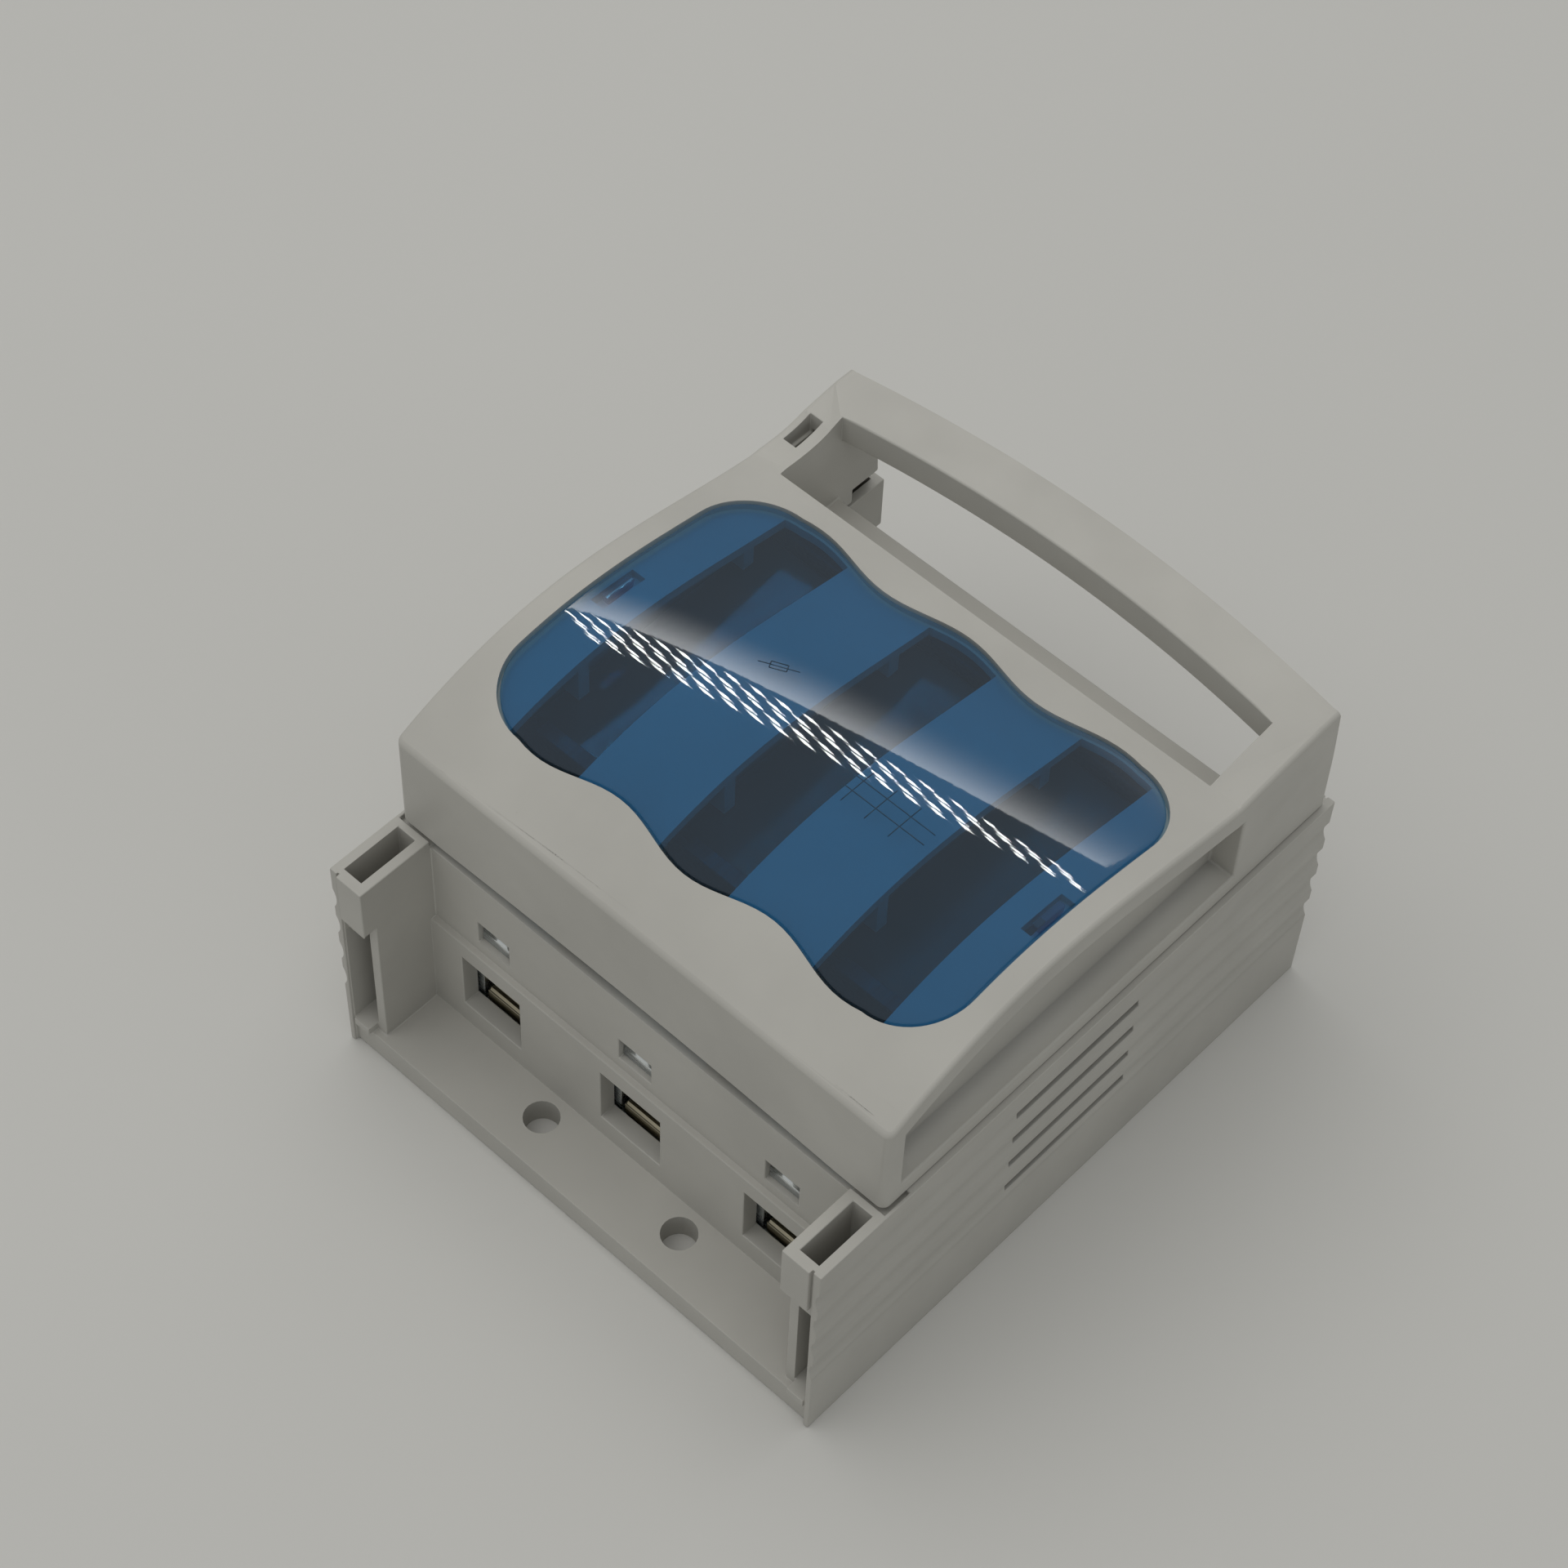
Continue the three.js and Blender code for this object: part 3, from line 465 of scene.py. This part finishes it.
def window_pane():
    """The blue pane: a plate with a rounded rim, made flat and then bent to the crown."""
    shape = bmesh.new()
    loft(shape, [[point(x, y, -depth) for x, y in pane_outline(inset)] for inset, depth in PANE_RIM])
    bend_to_crown(shape)
    for side in (-1, 1):
        snap_tab(shape, side)
    bmesh.ops.recalc_face_normals(shape, faces=shape.faces)
    piece = new_piece("window_pane", shape, acrylic)
    piece.modifiers.new("shade", "WEIGHTED_NORMAL")
    return stand_for(piece, "window")


def snap_tab(shape, side):
    """Adds the tab under one end of the pane, with its edges rounded."""
    def corners_at(taper, height_at):
        front, rear = SNAP_FRONT + taper, SNAP_REAR - taper
        plan = ((SNAP_INNER, front), (SNAP_OUTER, front), (SNAP_OUTER, rear), (SNAP_INNER, rear))
        return [point(side * x, y, height_at(y)) for x, y in plan]

    lower = corners_at(SNAP_TAPER, lambda y: SNAP_LOW)
    upper = corners_at(0.0, lambda y: min(SNAP_HIGH, crown_height(y) - SNAP_DEPTH))
    edges = list({edge for face in loft(shape, [lower, upper]) for edge in face.edges})
    width, steps = mm(SNAP_ROUNDING), SNAP_ROUNDING_STEPS
    bmesh.ops.bevel(shape, geom=edges, offset=width, segments=steps, affect="EDGES", profile=0.5)


# Print on the window: a blank table and the symbol of a fuse.
TABLE_LEFT, TABLE_RIGHT, TABLE_FRONT, TABLE_REAR = 6.5, 20.4, 42.2, 48.6
TABLE_ROWS = (44.4, 46.6)          # y of the lines across
TABLE_COLUMNS = (8.0, 12.1, 16.2)  # x of the lines along
SYMBOL_MIDDLE, SYMBOL_TILT = Vector((-13.0, 53.0)), math.radians(27)
SYMBOL_REACH, SYMBOL_HALF_LENGTH, SYMBOL_HALF_WIDTH = 2.9, 1.2, 0.6
INK_WIDTH, INK_LOW, INK_TOP = 0.13, 0.13, 0.07  # the last two are depths under the crown
INK_STEP = 1.0  # longest straight stretch of a line


def print_lines():
    """The lines of the print, each a list of places (x, y)."""
    lines = [[(TABLE_LEFT, y), (TABLE_RIGHT, y)] for y in TABLE_ROWS]
    lines += [[(x, TABLE_FRONT), (x, TABLE_REAR)] for x in TABLE_COLUMNS]
    x, y = SYMBOL_HALF_LENGTH, SYMBOL_HALF_WIDTH
    symbol = [[(-SYMBOL_REACH, 0), (SYMBOL_REACH, 0)], [(-x, -y), (x, -y), (x, y), (-x, y), (-x, -y)]]
    turn = Matrix.Rotation(SYMBOL_TILT, 2)
    return lines + [[SYMBOL_MIDDLE + turn @ Vector(place) for place in line] for line in symbol]


def ink_line(shape, start, end):
    """A thin raised line on the pane, which follows its curve."""
    start, end = Vector(start), Vector(end)
    steps = math.ceil((end - start).length / INK_STEP)
    side = Vector((start.y - end.y, end.x - start.x)).normalized() * INK_WIDTH / 2
    rings = []
    for i in range(steps + 1):
        middle = start.lerp(end, i / steps)
        left, right = middle - side, middle + side
        corners = [(left, INK_LOW), (right, INK_LOW), (right, INK_TOP), (left, INK_TOP)]
        rings.append([point(*place, crown_height(place.y) - depth) for place, depth in corners])
    loft(shape, rings)


def window_print():
    """The print, as thin raised lines in one piece."""
    shape = bmesh.new()
    for line in print_lines():
        for start, end in zip(line, line[1:]):
            ink_line(shape, start, end)
    bmesh.ops.recalc_face_normals(shape, faces=shape.faces)
    piece = new_piece("window_print", shape, ink)
    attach(piece, frame["nodes"]["window"]["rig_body"])


# ------------------------------------------------------------------ the cover

FINE_ROUNDING = 0.35  # radius along the cover's edges, apart from the crown's rim and the window's seat
PANE_LOW, PANE_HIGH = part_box("window")
SEAT_MARGIN = 1.0     # the window's seat reaches less than this past the pane

HANDLE_TOP = 62.3
HANDLE_JOINT = (93.2, 97.8)  # where the arms' sloping tops meet the bar, along y
HANDLE_STEP = 1.0            # more than the step between the arms' tops and the bar's

SHELL_HALF, SHELL_FRONT = 44.15, 12.45  # the cover's sides, from the middle, and its front
CAD_CORNER, SHELL_CORNER = 3.0, 1.2     # radius of the upright front edges: the node's, and the piece's
ARC_SLACK, END_SLACK = 0.03, 0.01       # how far a corner may be off those edges' arcs, or past their ends
SHOULDER_Z = 57.5                       # between the lower ends of those edges and the shoulder
SHOULDER_SLOPE = 1.5 / 3.15             # how steeply the shoulder rises behind the cover's front

# The cutter that rounds the crown's rim.
RIM_ROUNDING = 0.8
SHELL_LOW, SHELL_HIGH, SHELL_REAR = 20.0, 90.0, 130.0  # well past the cover on these sides
STATIONS = range(15, 103)        # y of the cutter's corners along the sides, as far as the handle bar
RIM_STEPS, CORNER_STEPS = 6, 6   # faces across the rim's rounding, and round an upright edge
SKIN = 0.01                      # keeps the cutter's faces off the cover's own
PROBE_INSET = 0.05               # heights are taken at least this far inside the cover's outline


def cover_share(edge):
    """No rounding round the window's crisp seat."""
    margin = mm(SEAT_MARGIN)
    middle = (edge.verts[0].co + edge.verts[1].co) / 2
    spans = zip(middle[:2], PANE_LOW[:2], PANE_HIGH[:2])
    on_seat = all(low - margin < value < high + margin for value, low, high in spans)
    return 0.0 if on_seat else 1.0


def level_handle_joint(shape):
    """Lifts the arms' tops where they meet the handle bar, so that they flow into it without a step."""
    near, far = (mm(y - MIDDLE_Y) for y in HANDLE_JOINT)
    for vertex in shape.verts:
        if near < vertex.co.y < far and mm(HANDLE_TOP - HANDLE_STEP) < vertex.co.z < mm(HANDLE_TOP):
            vertex.co.z = mm(HANDLE_TOP)


def tighten_corners(shape):
    """Draws the cover's two upright front edges out to a smaller radius."""
    middle = Vector((SHELL_HALF - CAD_CORNER, SHELL_FRONT + CAD_CORNER))
    new_middle = Vector((SHELL_HALF - SHELL_CORNER, SHELL_FRONT + SHELL_CORNER))
    for vertex in shape.verts:
        x, y = vertex.co.x * 1000, vertex.co.y * 1000 + MIDDLE_Y
        spoke = Vector((abs(x), y)) - middle
        in_quarter = spoke.x > -END_SLACK and spoke.y < END_SLACK
        if in_quarter and abs(spoke.length - CAD_CORNER) < ARC_SLACK:
            place = new_middle + spoke.normalized() * SHELL_CORNER
            rise = (place.y - y) * SHOULDER_SLOPE if vertex.co.z > mm(SHOULDER_Z) else 0.0
            vertex.co = (mm(math.copysign(place.x, x)), mm(place.y - MIDDLE_Y), vertex.co.z + mm(rise))


def shell_outline(inset):
    """The cover's sides and front in plan, drawn in by an inset, as points (x, y)."""
    x, y = SHELL_HALF - SHELL_CORNER, SHELL_FRONT + SHELL_CORNER
    radius = SHELL_CORNER - inset
    turns = [math.radians(90 * i / CORNER_STEPS) for i in range(CORNER_STEPS + 1)]
    right = [(x + radius * math.sin(turn), y - radius * math.cos(turn)) for turn in turns]
    right += [(SHELL_HALF - inset, station) for station in [*STATIONS, SHELL_REAR]]
    return [(-x, y) for x, y in reversed(right)] + right


def shell_cutter(shape):
    """A solid with the cover's outline whose upper edge curves in to meet the cover's top."""
    tree = BVHTree.FromBMesh(shape)
    down = Vector((0, 0, -1))

    def top_at(x, y):
        if y > HANDLE_JOINT[1]:
            return HANDLE_TOP
        return tree.ray_cast(point(x, y, SHELL_HIGH), down)[0].z * 1000

    def rim_ring(angle):
        """The outline at an angle of the rim's rounding, from 0 at the sides to 90 degrees on top."""
        inset = RIM_ROUNDING * (1 - math.cos(angle)) - SKIN
        drop = RIM_ROUNDING * (1 - math.sin(angle)) - 2 * SKIN
        heights = [top_at(*probe) - drop for probe in shell_outline(max(inset, PROBE_INSET))]
        return [point(x, y, z) for (x, y), z in zip(shell_outline(inset), heights)]

    rings = [[point(x, y, SHELL_LOW) for x, y in shell_outline(-SKIN)]]
    rings += [rim_ring(math.radians(90 * i / RIM_STEPS)) for i in range(RIM_STEPS + 1)]
    rings += [[point(x, y, SHELL_HIGH) for x, y in shell_outline(RIM_ROUNDING - SKIN)]]
    cutter = bmesh.new()
    loft(cutter, rings)
    bmesh.ops.triangulate(cutter, faces=cutter.faces)
    bmesh.ops.recalc_face_normals(cutter, faces=cutter.faces)
    return cutter


def keep_common(shape, other):
    """Leaves in a shape only what is also inside another shape, which it frees."""
    pieces = []
    for name, part in (("kept", shape), ("cutter", other)):
        mesh = bpy.data.meshes.new(name)
        part.to_mesh(mesh)
        pieces.append(bpy.data.objects.new(name, mesh))
        bpy.context.scene.collection.objects.link(pieces[-1])
    both = pieces[0].modifiers.new("common", "BOOLEAN")
    both.operation = "INTERSECT"
    both.solver = "MANIFOLD"
    both.object = pieces[1]
    view = bpy.context.evaluated_depsgraph_get()
    shape.clear()
    shape.from_mesh(pieces[0].evaluated_get(view).data)
    for piece in pieces:
        bpy.data.objects.remove(piece)
    other.free()


def mend_cover(shape):
    """Brings the cover's shape to the moulded one, before its faces are joined."""
    level_handle_joint(shape)
    tighten_corners(shape)
    bmesh.ops.remove_doubles(shape, verts=shape.verts, dist=mm(TOUCHING))
    keep_common(shape, shell_cutter(shape))


# ------------------------------------------------------------------ the test tabs of the clamp cages

# A folded tab stands on each cage's roof and fills a test window. Its section is given as distances
# behind the terminal wall's inner face, and heights.
TEST_TAB_HALF = 2.9  # half of the tab's width
TEST_TAB_FRONT, TEST_TAB_STEP, TEST_TAB_REAR = -0.95, 0.45, 1.6
TEST_TAB_FOOT, TEST_TAB_LOW, TEST_TAB_TOP = 25.0, 25.75, 28.3
BEND_RADIUS, BEND_STEPS = 1.0, 5
CAGE_GAP = 0.4  # between the terminal wall and the cage


def test_tab_section():
    """Section of the tab: its foot is in the cage's roof, and its front reaches into the test window."""
    turns = [math.radians(90 * i / BEND_STEPS) for i in range(BEND_STEPS, -1, -1)]
    y, z = TEST_TAB_FRONT + BEND_RADIUS, TEST_TAB_TOP - BEND_RADIUS
    bend = [(y - BEND_RADIUS * math.sin(turn), z + BEND_RADIUS * math.cos(turn)) for turn in turns]
    nose = [(TEST_TAB_STEP, TEST_TAB_LOW), (TEST_TAB_FRONT, TEST_TAB_LOW), *bend]
    foot = [(TEST_TAB_REAR, TEST_TAB_FOOT), (TEST_TAB_STEP, TEST_TAB_FOOT)]
    return [*nose, (TEST_TAB_REAR, TEST_TAB_TOP), *foot]


def test_tab_adder(node):
    """The function that adds the test tab to a clamp cage's shape."""
    low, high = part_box(node)
    inwards = 1 if high.y < 0 else -1
    wall = (low.y if inwards > 0 else high.y) - inwards * mm(CAGE_GAP)
    sides = [(low.x + high.x) / 2 + side * mm(TEST_TAB_HALF) for side in (-1, 1)]

    def add(shape):
        ends = [[(x, wall + inwards * mm(y), mm(z)) for y, z in test_tab_section()] for x in sides]
        bmesh.ops.recalc_face_normals(shape, faces=loft(shape, ends))

    return add


# ------------------------------------------------------------------ the pieces

INNER_MATERIALS = {
    "hinge_pin": zinc, "clamp_cage": zinc, "clamp_screw": zinc, "pressure_pad": zinc,
    "fixing_screw": zinc, "link_end_plate": dull_steel, "contact": contact_metal,
    "jaw_spring": spring_metal, "link_blade": blade_metal, "link_body": porcelain_dark_as_shade,
}
TRAY_ROUNDING = 0.2
INNER_ROUNDING = {"link_body": 0.8, "link_blade": 0.2, "hinge_pin": 0.1}
PRESSED_ROUNDING = 0.15  # for every other kind of inner piece


def inner_pieces():
    """Everything that the tray and the cover hold, each with the material of its kind."""
    for node in frame["nodes"]:
        kind = next((start for start in INNER_MATERIALS if node.startswith(start)), None)
        if kind:
            radius = INNER_ROUNDING.get(kind, PRESSED_ROUNDING)
            add = test_tab_adder(node) if kind == "clamp_cage" else as_it_is
            rounded(node, node + "_piece", INNER_MATERIALS[kind], radius, add=add)


rounded("base", "tray_moulding", tray_plastic, TRAY_ROUNDING)
window_pane()
window_print()
rounded("cover", "cover_moulding", plastic, FINE_ROUNDING, share=cover_share, mend=mend_cover)
inner_pieces()

# ------------------------------------------------------------------ floor, lights and camera

FLOOR_COLOUR = (0.615, 0.61, 0.585)
FLOOR_HALF = 3.0   # metres, from the middle to each side
FLOOR_DROP = 0.05  # the floor lies this far under the tray
WORLD_COLOUR, WORLD_STRENGTH = (0.985, 1.0, 0.99), 0.40

# The soft lamp above the left front, in metres and watts.
CEILING_COLOUR, CEILING_POWER = (1.0, 0.985, 0.965), 12.8
CEILING_PLACE, CEILING_SIZE = (-0.3, -0.12, 1.6), 1.9

# Two lamps high above the left side, which only glossy surfaces show. Each line is start, middle, end.
LAMP_Z = 600.0
STRIP_COLOUR, STRIP_STRENGTH = (1.0, 0.99, 0.95), 30
STRIP_LINE = ((-334, 258), (-295, 445), (-220, 606))
STRIP_COLUMNS, STRIP_ROWS = 20, 5
STRIP_LEAN = Vector((45, -55))  # a full row of tubes, from one side of the strip to the other
STRIP_TAPER = (0.12, 0.88)      # the part of a half wave that the rows' lengths follow along the strip
TUBE_SHARE = 0.33               # half of a tube's length, as a share of its place in the row
TUBE_HALF_WIDTH = 2.4
TUBE_WOBBLE = 0.5               # how far tubes are set off to each side, as a share of their half width
PANEL_COLOUR, PANEL_STRENGTH = (1.0, 0.98, 0.95), 4.2
PANEL_NEAR_LINE = ((-346, 272), (-318, 510), (-240, 694))
PANEL_FAR_LINE = ((-372, 380), (-368, 665), (-258, 800))
PANEL_START, PANEL_END = 1.6, 1.0  # brightness at both ends of the near line
PANEL_STEPS = 16

# The camera looks down at the front right corner, turned a little about its own axis.
CAMERA_PLACE = (191.1, -178.98, 452.16)
CAMERA_AZIMUTH, CAMERA_ELEVATION = math.radians(41.085), math.radians(53.205)
CAMERA_ROLL = math.radians(2.68)
CAMERA_LENS, CAMERA_SENSOR = 86.22, 36.0
CAMERA_CLIP = 0.01  # metres


def make_floor():
    """A large plain floor."""
    corners = [(x * FLOOR_HALF, y * FLOOR_HALF, 0) for x, y in ((-1, -1), (1, -1), (1, 1), (-1, 1))]
    mesh = bpy.data.meshes.new("floor")
    mesh.from_pydata(corners, [], [(0, 1, 2, 3)])
    shader = Shader("floor_paint", Roughness=0.7)
    shader.set("Base Color", shader.mottle(shader.noise(6, 3), scaled(FLOOR_COLOUR, 0.98), FLOOR_COLOUR))
    mesh.materials.append(shader.material)
    floor = bpy.data.objects.new("floor", mesh)
    floor.location.z = -mm(FLOOR_DROP)
    bpy.context.scene.collection.objects.link(floor)


def make_world():
    """Even light from all round."""
    world = bpy.data.worlds.new("studio")
    world.use_nodes = True
    background = world.node_tree.nodes["Background"]
    background.inputs["Color"].default_value = (*WORLD_COLOUR, 1)
    background.inputs["Strength"].default_value = WORLD_STRENGTH
    bpy.context.scene.world = world


def make_ceiling_light():
    """Square soft lamp, aimed at the object, that lights surfaces without a mirror image of itself."""
    data = bpy.data.lights.new("ceiling", "AREA")
    data.shape = "SQUARE"
    data.size = CEILING_SIZE
    data.energy = CEILING_POWER
    data.color = CEILING_COLOUR
    lamp = bpy.data.objects.new("ceiling", data)
    lamp.location = CEILING_PLACE
    lamp.rotation_euler = (-Vector(CEILING_PLACE)).to_track_quat("-Z", "Y").to_euler()
    lamp.visible_glossy = False
    bpy.context.scene.collection.objects.link(lamp)


def glow(name, colour, strength):
    """A light-giving surface that lets other light through and fades out with the mesh's fade value."""
    shader = Shader(name)
    shader.tree.nodes.remove(shader.main)
    fade = shader.node("Attribute", attribute_name="fade").outputs["Fac"]
    power = shader.node("Math", {0: fade, 1: strength}, operation="MULTIPLY").outputs[0]
    light = shader.node("Emission", {"Color": (*colour, 1), "Strength": power}).outputs[0]
    clear = shader.node("BsdfTransparent").outputs[0]
    shader.show(shader.node("AddShader", {0: light, 1: clear}).outputs[0])
    return shader.material


def lamp_panel(name, faces, material):
    """Flat light-giving faces, each a list of corners (x, y, fade) in drawing millimetres."""
    shape = bmesh.new()
    fade = shape.verts.layers.float.new("fade")
    for corners in faces:
        verts = []
        for x, y, amount in corners:
            verts.append(shape.verts.new(point(x, y, LAMP_Z)))
            verts[-1][fade] = amount
        shape.faces.new(verts[::-1])
    mesh = bpy.data.meshes.new(name)
    shape.to_mesh(mesh)
    shape.free()
    mesh.materials.append(material)
    panel = bpy.data.objects.new(name, mesh)
    panel.visible_camera = False
    panel.visible_diffuse = False
    panel.visible_shadow = False
    bpy.context.scene.collection.objects.link(panel)


def curve_at(line, t):
    """The point at t, from 0 to 1, of a curve through the start, the middle and the end of a line."""
    start, middle, end = (Vector(p) for p in line)
    return start * ((1 - t) * (1 - 2 * t)) + middle * (4 * t * (1 - t)) + end * (t * (2 * t - 1))


def tubed_strip():
    """Strip lamp: leaning rows of small tubes, shorter towards both ends of the strip."""
    faces = []
    taper_start, taper_end = STRIP_TAPER
    for column in range(STRIP_COLUMNS):
        t = (column + 0.5) / STRIP_COLUMNS
        row_line = STRIP_LEAN * math.sin(math.pi * (taper_start + (taper_end - taper_start) * t))
        length = row_line * TUBE_SHARE / STRIP_ROWS
        width = Vector((-row_line.y, row_line.x)).normalized() * TUBE_HALF_WIDTH
        for row in range(STRIP_ROWS):
            wobble = width * (TUBE_WOBBLE if row % 2 else -TUBE_WOBBLE)
            middle = curve_at(STRIP_LINE, t) + row_line * ((row + 0.5) / STRIP_ROWS - 0.5) + wobble
            near, far = middle - width, middle + width
            corners = [near - length, near + length, far + length, far - length]
            faces.append([(*corner, 1.0) for corner in corners])
    lamp_panel("strip_lamp", faces, glow("strip_glow", STRIP_COLOUR, STRIP_STRENGTH))


def soft_panel():
    """Broad dim panel behind the strip lamp: sharp along its near line, fading towards its far line."""
    def at(i, j):
        t, s = i / PANEL_STEPS, j / PANEL_STEPS
        place = curve_at(PANEL_NEAR_LINE, t).lerp(curve_at(PANEL_FAR_LINE, t), s)
        brightness = PANEL_START + (PANEL_END - PANEL_START) * t
        return (*place, (1 - s) ** 2 * brightness)

    faces = [[at(i, j), at(i + 1, j), at(i + 1, j + 1), at(i, j + 1)]
             for i in range(PANEL_STEPS) for j in range(PANEL_STEPS)]
    lamp_panel("soft_panel", faces, glow("soft_glow", PANEL_COLOUR, PANEL_STRENGTH))


def make_camera():
    """The camera, with its level line turned by the roll about the direction that it looks in."""
    flat = math.cos(CAMERA_ELEVATION)
    level = Vector((math.cos(CAMERA_AZIMUTH), math.sin(CAMERA_AZIMUTH), 0))
    forward = Vector((-level.y * flat, level.x * flat, -math.sin(CAMERA_ELEVATION)))
    upright = level.cross(forward)
    right = level * math.cos(CAMERA_ROLL) + upright * math.sin(CAMERA_ROLL)
    up = upright * math.cos(CAMERA_ROLL) - level * math.sin(CAMERA_ROLL)
    data = bpy.data.cameras.new("camera")
    data.sensor_width = CAMERA_SENSOR
    data.lens = CAMERA_LENS
    data.clip_start = CAMERA_CLIP
    camera = bpy.data.objects.new("camera", data)
    turn = Matrix((right, up, -forward)).transposed().to_4x4()
    camera.matrix_world = Matrix.Translation(point(*CAMERA_PLACE)) @ turn
    bpy.context.scene.collection.objects.link(camera)
    bpy.context.scene.camera = camera


make_floor()
make_world()
make_ceiling_light()
tubed_strip()
soft_panel()
make_camera()
bpy.context.scene.view_settings.view_transform = "Standard"
